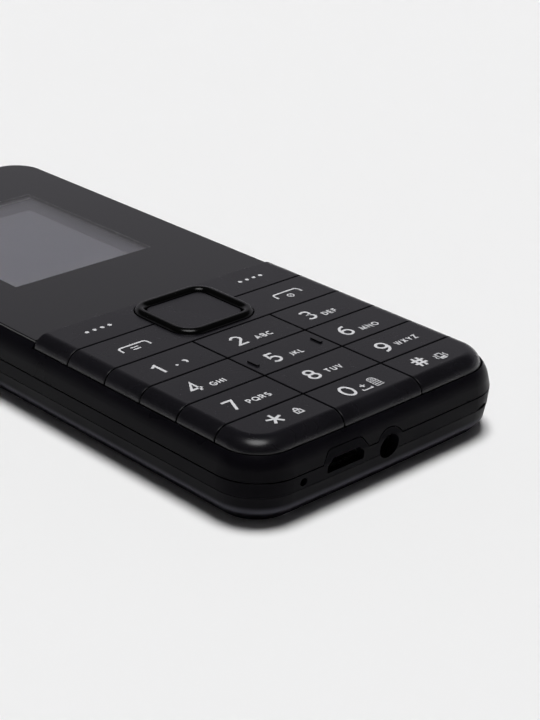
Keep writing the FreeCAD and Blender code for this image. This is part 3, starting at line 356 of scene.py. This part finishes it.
# Glyphs in a box one unit high. A pair is a point; six numbers are an arc: centre, two radii and
# the angles it starts and ends at, in degrees.
SIX = [[(.56, .38, .54, .62, 84, 190)], [(.33, .30, .31, .30, 0, 360)]]
GLYPHS = {
    "0": [[(.34, .5, .34, .5, 90, 450)]],
    "1": [[(0, .8), (.31, 1), (.31, 0)]],
    "2": [[(.31, .71, .29, .29, 165, -35), (0, 0), (.64, 0)]],
    "3": [[(.27, .76, .27, .24, 150, -90), (.27, .26, .31, .26, 90, -145)]],
    "4": [[(.5, 0), (.5, 1), (0, .27), (.7, .27)]],
    "5": [[(.56, 1), (.1, 1), (.27, .30, .32, .30, 130, -140)]],
    "6": SIX,
    "7": [[(0, 1), (.64, 1), (.2, 0)]],
    "8": [[(.32, .755, .255, .245, 90, 450)], [(.32, .27, .31, .27, 90, 450)]],
    "9": [[tuple([.64 - a[0], 1 - a[1], a[2], a[3], a[4] + 180, a[5] + 180]) for a in path] for path in SIX],
    "A": [[(0, 0), (.4, 1), (.8, 0)], [(.14, .33), (.66, .33)]],
    "B": [[(0, 0), (0, 1), (.3, .76, .25, .24, 90, -90), (0, .52)], [(.32, .26, .28, .26, 90, -90), (0, 0)]],
    "C": [[(.45, .5, .45, .5, 50, 310)]],
    "D": [[(0, 0), (0, 1), (.25, .5, .45, .5, 90, -90), (0, 0)]],
    "E": [[(.5, 1), (0, 1), (0, 0), (.5, 0)], [(0, .5), (.45, .5)]],
    "F": [[(.5, 1), (0, 1), (0, 0)], [(0, .5), (.43, .5)]],
    "G": [[(.47, .5, .47, .5, 50, 325), (.86, .46), (.5, .46)]],
    "H": [[(0, 0), (0, 1)], [(.66, 0), (.66, 1)], [(0, .5), (.66, .5)]],
    "I": [[(0, 0), (0, 1)]],
    "J": [[(.32, 1), (.1, .2, .22, .2, 0, -110)]],
    "K": [[(0, 0), (0, 1)], [(.58, 1), (0, .42)], [(.2, .6), (.62, 0)]],
    "L": [[(0, 1), (0, 0), (.48, 0)]],
    "M": [[(0, 0), (.06, 1), (.44, .1), (.82, 1), (.88, 0)]],
    "N": [[(0, 0), (0, 1), (.68, 0), (.68, 1)]],
    "O": [[(.46, .5, .46, .5, 90, 450)]],
    "P": [[(0, 0), (0, 1), (.28, .74, .26, .26, 90, -90), (0, .48)]],
    "Q": [[(.46, .5, .46, .5, 90, 450)], [(.5, .22), (.86, -.12)]],
    "R": [[(0, 0), (0, 1), (.28, .74, .26, .26, 90, -90), (0, .48)], [(.3, .48), (.6, 0)]],
    "S": [[(.28, .75, .26, .25, 40, 270), (.28, .25, .28, .25, 90, -140)]],
    "T": [[(0, 1), (.7, 1)], [(.35, 1), (.35, 0)]],
    "U": [[(0, 1), (.32, .33, .32, .33, 180, 360), (.64, 1)]],
    "V": [[(0, 1), (.36, 0), (.72, 1)]],
    "W": [[(0, 1), (.26, 0), (.52, .95), (.78, 0), (1.04, 1)]],
    "X": [[(0, 0), (.66, 1)], [(0, 1), (.66, 0)]],
    "Y": [[(0, 1), (.33, .5), (.66, 1)], [(.33, .5), (.33, 0)]],
    "Z": [[(0, 1), (.62, 1), (0, 0), (.64, 0)]],
    "#": [[(.2, 0), (.32, 1)], [(.54, 0), (.66, 1)], [(0, .66), (.88, .66)], [(0, .34), (.86, .34)]],
    "*": [[(.5, .5), (.5 + .5 * math.cos(turn), .5 + .5 * math.sin(turn))]
          for turn in [math.radians(90 + 72 * k) for k in range(5)]],
}


def trace(path):
    """Points along a path of straight runs and arcs; an arc is cx + rx cos t, cy + ry sin t."""
    points = []
    for item in path:
        if len(item) == 2:
            points.append(np.array([item], float))
        else:
            cx, cy, rx, ry, start, end = item
            t = np.radians(np.linspace(start, end, max(ARC_LEAST, int(abs(end - start) / ARC_STEP))))
            points.append(np.stack([cx + rx * np.cos(t), cy + ry * np.sin(t)], 1))
    points = np.concatenate(points)
    apart = np.linalg.norm(np.diff(points, axis=0), axis=1) > SAME_POINT
    return points[np.append(True, apart)]


def pen_stroke(points, width, base, rise):
    """A flat ribbon: the path moved half a width to each side along its mitred normal, closed into
    a bar between two heights. Returns vertices and quads."""
    closed = np.allclose(points[0], points[-1])
    step = np.diff(points, axis=0)
    step /= np.linalg.norm(step, axis=1)[:, None]
    before = np.concatenate([step[-1:] if closed else step[:1], step])
    after = np.concatenate([step, step[:1] if closed else step[-1:]])
    side = np.stack([-(before + after)[:, 1], (before + after)[:, 0]], 1)
    side /= np.linalg.norm(side, axis=1)[:, None]
    mitre = 1 / np.clip((side * np.stack([-after[:, 1], after[:, 0]], 1)).sum(1), MITRE_LIMIT, 1)
    offset = side * (mitre * width / 2)[:, None]
    ring = [(points + offset, base), (points - offset, base),
            (points - offset, rise), (points + offset, rise)]
    corners = np.stack([np.column_stack([p, np.full(len(p), z)]) for p, z in ring], 1)
    count = len(points)
    index = np.arange(count * 4).reshape(count, 4)
    quads = np.concatenate([np.stack([index[:-1, i], index[:-1, (i + 1) % 4], index[1:, (i + 1) % 4],
                                      index[1:, i]], 1) for i in range(4)])
    if not closed:
        quads = np.concatenate([quads, index[:1, ::-1], index[-1:]])
    return corners.reshape(-1, 3), quads


def mesh_piece(name, parts, material, body):
    """Join (vertices in metres, faces) pairs into one closed mesh that rides on a body."""
    vertices, faces, start = [], [], 0
    for points, quads in parts:
        vertices.append(points)
        faces += (quads + start).tolist()
        start += len(points)
    mesh = bpy.data.meshes.new(name)
    mesh.from_pydata(np.concatenate(vertices).tolist(), [], faces)
    shape = bmesh.new()
    shape.from_mesh(mesh)
    bmesh.ops.remove_doubles(shape, verts=shape.verts, dist=WELD)
    bmesh.ops.dissolve_degenerate(shape, edges=shape.edges, dist=WELD)
    bmesh.ops.recalc_face_normals(shape, faces=shape.faces)
    shape.to_mesh(mesh)
    shape.free()
    mesh.materials.append(material)
    piece = bpy.data.objects.new(name, mesh)
    bpy.context.scene.collection.objects.link(piece)
    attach(piece, body)


def glyph_width(mark):
    """How far a glyph reaches to the right of its box's left side, in units of its height."""
    return max(trace(path)[:, 0].max() for path in GLYPHS[mark])


def write(text, x, y, height, pen, gap=0.0):
    """Lay out marks in one line with their middle at (x, y); returns pen strokes in millimetres."""
    scale = height - pen
    widths = [glyph_width(mark) * scale + pen for mark in text]
    left = x - (sum(widths) + gap * (len(text) - 1)) / 2
    strokes = []
    for mark, width in zip(text, widths):
        for path in GLYPHS[mark]:
            points = trace(path) * scale + [left + pen / 2, y - scale / 2]
            strokes.append((points, pen))
        left += width + gap
    return strokes


def dot(x, y, diameter):
    """A printed dot: a pen half as wide as the dot carried round a quarter of its width."""
    return trace([(x, y, diameter / 4, diameter / 4, 0, 360)]), diameter / 2 - DOT_PINHOLE


def line(pen, *path):
    """A stroke along a path given in millimetres, with a pen of one width."""
    return trace(path), pen


INK_CLOUD_MM = 0.3
INK_GREYS = ("#C4C4C7", "#DDDDDF")


def ink_material():
    """Pad-printing ink: pale grey, matt, slightly uneven in density in patches INK_CLOUD_MM across."""
    material, tree, shader, place = new_material("pad-printing ink")
    shader.inputs["Roughness"].default_value = 0.55
    shader.inputs["Specular IOR Level"].default_value = 0.3
    cloud = add_node(tree, "ShaderNodeTexNoise", {
        "Vector": place, "Scale": 1 / (INK_CLOUD_MM * MM), "Detail": 2.0})
    colour = add_node(tree, "ShaderNodeMix", {
        0: cloud.outputs[0], 6: linear(INK_GREYS[0]), 7: linear(INK_GREYS[1])}, data_type="RGBA")
    tree.links.new(colour.outputs[2], shader.inputs["Base Color"])
    return material


ink = ink_material()
END_LINE = cad_box[0].y / MM + 0.2      # the marks are laid out from here, just inside the port end
ICON_PEN = 0.24
# Middle of each digit, its letters and their middle, in millimetres from the port end.
LABELS = {
    "1": (-18.85, 29.8, "", 0, 0), "2": (-2.6, 29.9, "ABC", 1.85, 29.0),
    "3": (12.6, 30.0, "DEF", 16.3, 28.85),
    "4": (-18.75, 21.9, "GHI", -14.95, 21.0), "5": (-2.75, 21.95, "JKL", 1.2, 21.1),
    "6": (12.7, 21.9, "MNO", 17.1, 20.9), "7": (-18.6, 13.85, "PQRS", -14.0, 13.3),
    "8": (-2.65, 13.9, "TUV", 1.45, 13.4), "9": (12.85, 13.8, "WXYZ", 17.45, 13.4),
    "0": (-2.7, 6.5, "", 0, 0), "star": (-17.0, 6.85, "", 0, 0), "hash": (13.0, 6.6, "", 0, 0),
}
# Small symbols beside four marks: a dot and a curl on 1, a padlock on the star key, a plus, a space
# bar and an arched grid on 0, and a shaking telephone on the hash key.
ICONS = {
    "1": [dot(-15.6, 29.25, 0.5), line(0.4, (-13.8, 29.5, .3, .42, 120, -70))],
    "star": [line(ICON_PEN, (-13.25, 5.95), (-12.05, 5.95), (-12.05, 6.85), (-13.25, 6.85), (-13.25, 5.95)),
             line(ICON_PEN, (-13.0, 6.85), (-12.65, 7.05, .35, .42, 180, 0), (-12.3, 6.85)),
             dot(-12.65, 6.4, 0.34)],
    "0": [line(ICON_PEN, (0.25, 5.85), (0.25, 6.85)), line(ICON_PEN, (-0.25, 6.35), (0.75, 6.35)),
          line(ICON_PEN, (-0.65, 5.45), (-0.65, 5.05), (1.15, 5.05), (1.15, 5.45)),
          line(0.14, (2.05, 4.95), (2.05, 6.9), (2.75, 6.95, .7, .6, 180, 0), (3.45, 4.95), (2.05, 4.95))]
         + [line(0.1, (x, 4.95), (x, 7.45)) for x in (2.51, 2.98)]
         + [line(0.1, (2.05, y), (3.45, y)) for y in (5.48, 6.0, 6.52, 7.04)],
    "hash": [line(0.2, (16.6, 5.1), (17.6, 5.1), (17.6, 6.8), (16.6, 6.8), (16.6, 5.1)),
             line(0.4, (16.6, 5.5), (17.6, 5.5))]
            + [line(0.2, (17.1 + s * .98, 5.3), (17.1 + s * 1.15, 5.7), (17.1 + s * .9, 6.15),
                    (17.1 + s * 1.1, 6.6))
               for s in (-1, 1)],
}


def print_marks(name, strokes, body):
    """Turn pen strokes, in millimetres from the port end, into ink on the key tops."""
    parts = []
    for order, (points, width) in enumerate(strokes):
        placed = (np.asarray(points) + [0, END_LINE]) * MM
        step = order * INK_STEP
        parts.append(pen_stroke(placed, width * MM, KEY_TOP - (INK_SINK + step) * MM,
                                KEY_TOP + (INK_RISE + step) * MM))
    mesh_piece(name, parts, ink, body)


for mark, (x, y, letters, letters_x, letters_y) in LABELS.items():
    strokes = write({"star": "*", "hash": "#"}.get(mark, mark), x, y, DIGIT_H, DIGIT_PEN)
    if letters:
        strokes += write(letters, letters_x, letters_y, LETTER_H, LETTER_PEN, LETTER_GAP)
    print_marks("print_key_" + mark, strokes + ICONS.get(mark, []), "key_%s_cap" % mark)

# ------------------------------------------------------------------ marks on the two bars
# The same ink. Four dots stand over each soft key, a receiver over two short lines marks the call
# key, and a receiver over a ring with a dot marks the end key.
DOT_Y = 47.25
DOT_W = 0.72
soft_dots = [dot(x, DOT_Y, DOT_W) for x in (-18.35, -16.85, -15.35, -13.87, 13.87, 15.4, 16.9, 18.45)]
print_marks("print_soft_keys", soft_dots, "soft_bar")


def handset(x, y):
    """Outline of a receiver: a shallow arch that drops at both ends."""
    return line(0.36, (x - 2.7, y - 1.0), (x - 2.1, y - .1, .6, .75, 180, 90),
                (x + 2.1, y - .1, .6, .75, 90, 0), (x + 2.7, y - .85))


call_marks = [handset(-16.15, 38.6), line(0.3, (-17.05, 38.3), (-15.6, 38.3)),
              line(0.3, (-17.05, 37.6), (-15.6, 37.6)),
              handset(16.4, 38.8), line(0.22, (16.3, 37.75, .55, .55, 90, 450)), dot(16.3, 37.75, 0.35)]
print_marks("print_call_end_keys", call_marks, "call_end_bar")

# ------------------------------------------------------------------ studio
# White floor, and round it a pale screen that stands highest behind the far right corner, in a dim
# room. A lamp overhead lights matt surfaces, and one on the camera's side shows only in gloss.
FLOOR_WHITE = "#EFEFEF"
SCREEN_WHITE = "#F3F0F8"
SCREEN_STRENGTH = 0.37              # how bright the screen looks, where 1 is white
FLOOR_RADIUS = 2.5
FLOOR_MIDDLE = 0.0001               # radius of the pinhole at the floor's middle
STAGE_SIDES = 96
SCREEN_LOW = 0.12
SCREEN_HIGH = 1.5
SCREEN_FACES = math.radians(46)     # the screen is highest in this direction, from +X towards +Y
SCREEN_SWELL = 1.5                  # over 1, the high side is narrower than the low one
ROOM_LIGHT = 0.03


def plain_paint(name, code, seen_strength):
    """Matt paint of one colour. Where seen_strength isn't 0, the camera, gloss and glass all see it
    evenly lit at that one strength."""
    material, tree, shader, _ = new_material(name)
    shader.inputs["Base Color"].default_value = linear(code)
    shader.inputs["Roughness"].default_value = 1.0
    shader.inputs["Specular IOR Level"].default_value = 0.0
    if seen_strength:
        ray = add_node(tree, "ShaderNodeLightPath").outputs
        look = add_node(tree, "ShaderNodeMath", {0: ray["Is Camera Ray"], 1: ray["Is Glossy Ray"]},
                        operation="MAXIMUM")
        seen = add_node(tree, "ShaderNodeMath", {0: look.outputs[0], 1: ray["Is Transmission Ray"]},
                        operation="MAXIMUM").outputs[0]
        glow = add_node(tree, "ShaderNodeMath", {0: seen, 1: seen_strength}, operation="MULTIPLY")
        paint = add_node(tree, "ShaderNodeMix", {0: seen, 6: linear(code), 7: (0, 0, 0, 1)}, data_type="RGBA")
        tree.links.new(paint.outputs[2], shader.inputs["Base Color"])
        shader.inputs["Emission Color"].default_value = linear(code)
        tree.links.new(glow.outputs[0], shader.inputs["Emission Strength"])
    return material


def stage_surface(name, radii, rises, code, seen_strength=0.0):
    """A surface turned about Z: at each angle t round the circle, point k of its profile stands at
    radii[k] from the axis and at the height rises[k] gives for that angle."""
    t = np.linspace(0, 2 * np.pi, STAGE_SIDES + 1)[:-1]
    heights = np.stack([np.broadcast_to(rise, t.shape) for rise in rises(t)], 1)
    grid = np.stack([np.outer(np.cos(t), radii), np.outer(np.sin(t), radii), heights], 2)
    rows, columns = grid.shape[:2]
    index = np.arange(rows * columns).reshape(rows, columns)
    turned = np.roll(index, -1, 0)
    quads = np.stack([index[:, :-1], index[:, 1:], turned[:, 1:], turned[:, :-1]], 2).reshape(-1, 4)
    mesh = bpy.data.meshes.new(name)
    mesh.from_pydata(grid.reshape(-1, 3).tolist(), [], quads.tolist())
    mesh.materials.append(plain_paint(name + " paint", code, seen_strength))
    surface = bpy.data.objects.new(name, mesh)
    bpy.context.scene.collection.objects.link(surface)


def screen_top(t):
    """Height of the screen round the circle: SCREEN_LOW plus a share of the rest, which is half of
    one plus the cosine of the angle from its highest side, to the power SCREEN_SWELL."""
    swell = (0.5 + 0.5 * np.cos(t - SCREEN_FACES)) ** SCREEN_SWELL
    return SCREEN_LOW + (SCREEN_HIGH - SCREEN_LOW) * swell


stage_surface("floor", [FLOOR_MIDDLE, FLOOR_RADIUS], lambda t: (0.0, 0.0), FLOOR_WHITE)
stage_surface("screen", [FLOOR_RADIUS, FLOOR_RADIUS], lambda t: (0.0, screen_top(t)), SCREEN_WHITE,
              SCREEN_STRENGTH)

world = bpy.data.worlds.new("dim room")
bpy.context.scene.world = world
world.use_nodes = True
world.node_tree.nodes["Background"].inputs["Color"].default_value = (1, 1, 1, 1)
world.node_tree.nodes["Background"].inputs["Strength"].default_value = ROOM_LIGHT


def softbox(name, strength, spread, lean, seen_by):
    """A distant round lamp: spread is its diameter in degrees, lean its tilt from straight overhead
    towards the far right corner, and seen_by says which surfaces it serves."""
    lamp = bpy.data.lights.new(name, "SUN")
    lamp.energy = strength
    lamp.angle = math.radians(spread)
    holder = bpy.data.objects.new(name, lamp)
    axis = Vector((-1, 1, 0))
    holder.rotation_euler = Matrix.Rotation(math.radians(lean), 3, axis).to_euler()
    holder.visible_diffuse = seen_by != "gloss"
    holder.visible_glossy = seen_by != "matt"
    bpy.context.scene.collection.objects.link(holder)


softbox("overhead softbox", strength=3.02, spread=23, lean=9, seen_by="matt")
softbox("front softbox", strength=1.35, spread=34, lean=-16, seen_by="gloss")

# ------------------------------------------------------------------ camera
# A long lens off the port end's left corner, 0.3 m from the telephone's middle, looking down at
# about 25 degrees.
EYE = Vector((-174.33, -214.77, 124.31)) * MM
PITCH = math.radians(24.639)
HEADING = math.radians(44.444)
ROLL = math.radians(1.779)
FOCAL_MM = 89.25
SENSOR_MM = 36.0
forward = Vector((math.cos(PITCH) * math.sin(HEADING), math.cos(PITCH) * math.cos(HEADING), -math.sin(PITCH)))
level_right = forward.cross(Vector((0, 0, 1))).normalized()
level_up = level_right.cross(forward)
right = math.cos(ROLL) * level_right + math.sin(ROLL) * level_up
up = math.cos(ROLL) * level_up - math.sin(ROLL) * level_right
camera = bpy.data.cameras.new("camera")
camera.sensor_fit = "VERTICAL"
camera.sensor_height = SENSOR_MM
camera.lens = FOCAL_MM
camera.clip_start = 0.01
camera_object = bpy.data.objects.new("camera", camera)
camera_object.matrix_world = Matrix.Translation(EYE) @ Matrix((right, up, -forward)).transposed().to_4x4()
bpy.context.scene.collection.objects.link(camera_object)
bpy.context.scene.camera = camera_object
bpy.context.scene.view_settings.view_transform = "Standard"
